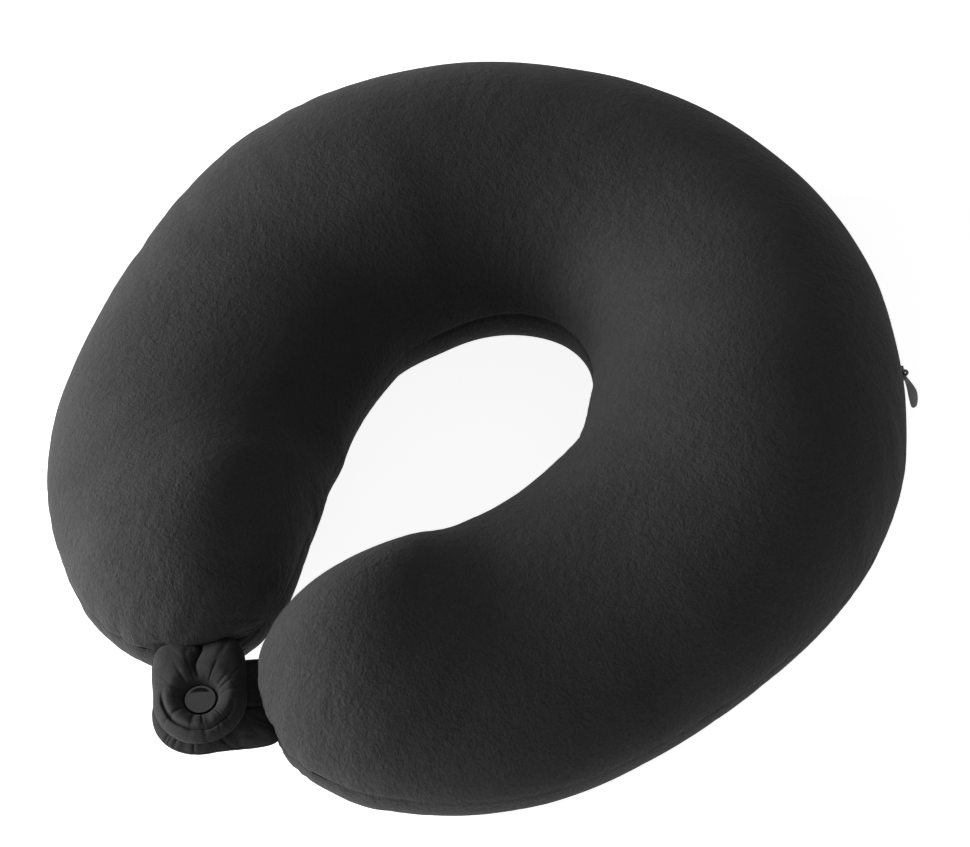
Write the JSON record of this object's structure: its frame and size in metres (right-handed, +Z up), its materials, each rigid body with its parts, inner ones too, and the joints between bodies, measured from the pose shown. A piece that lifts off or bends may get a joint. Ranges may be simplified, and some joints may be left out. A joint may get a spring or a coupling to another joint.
{
  "type": "u shaped neck pillow",
  "caption": "Plump U shaped travel neck pillow in black velour, with a zipped removable cover and two short padded tabs that a press snap joins at the front.",
  "frame": {"origin": "on the flat underside, in the symmetry plane, below the middle of the nape's section", "axes": "+Z up from the surface it lies on, +Y out through the nape, -Y towards the arms' ends; the pillow is symmetric about X = 0 except for its tabs and slider"},
  "size_m": [0.2972, 0.3317, 0.0925],
  "materials": {
    "velour": "short pile, matt, soft sheen at grazing angles",
    "liner_cloth": "thin plain knit",
    "foam": "open cell foam",
    "wadding": "loose fibre filling",
    "zip_tape": "woven twill",
    "zip_coil": "smooth, satin",
    "zip_metal": "black lacquer, satin",
    "snap_lacquer": "black lacquer, glossy",
    "snap_metal": "blackened metal, satin"
  },
  "bodies": {
    "pillow": {"foam_core": "foam", "liner_upper": "liner_cloth", "liner_lower": "liner_cloth", "cover_upper_panel": "velour", "cover_lower_panel": "velour", "zip_tape_upper": "zip_tape", "zip_tape_lower": "zip_tape", "zip_teeth_upper": "zip_coil", "zip_teeth_lower": "zip_coil", "zip_top_stops": "zip_metal", "zip_bottom_stop": "zip_metal"},
    "upper_tab": {"upper_tab_face": "velour", "upper_tab_back": "velour", "upper_tab_wadding": "wadding", "snap_cap": "snap_lacquer", "snap_socket": "snap_metal"},
    "lower_tab": {"lower_tab_face": "velour", "lower_tab_back": "velour", "lower_tab_wadding": "wadding", "snap_stud": "snap_metal", "snap_base_cap": "snap_lacquer"},
    "slider": {"zip_slider": "zip_metal"},
    "pull": {"zip_pull": "zip_metal"}
  },
  "joints": [
    {"name": "upper_tab_lift", "type": "hinge", "parent": "pillow", "child": "upper_tab", "pos_m": [-0.01259, -0.24692, 0.03975], "axis": [-0.7193, -0.6947, 0], "range_deg": [0, 55]},
    {"name": "lower_tab_swing", "type": "hinge", "parent": "pillow", "child": "lower_tab", "pos_m": [0.01259, -0.24692, 0.03425], "axis": [0.7185, -0.6955, 0], "range_deg": [0, 55]},
    {"name": "zip_travel", "type": "hinge", "parent": "pillow", "child": "slider", "pos_m": [0, -0.094, 0.037], "axis": [0, 0, 1], "range_deg": [0, 100]},
    {"name": "pull_swing", "type": "hinge", "parent": "slider", "child": "pull", "pos_m": [0.1154, 0.00284, 0.037], "axis": [0.6428, -0.766, 0], "range_deg": [0, 100]}
  ]
}
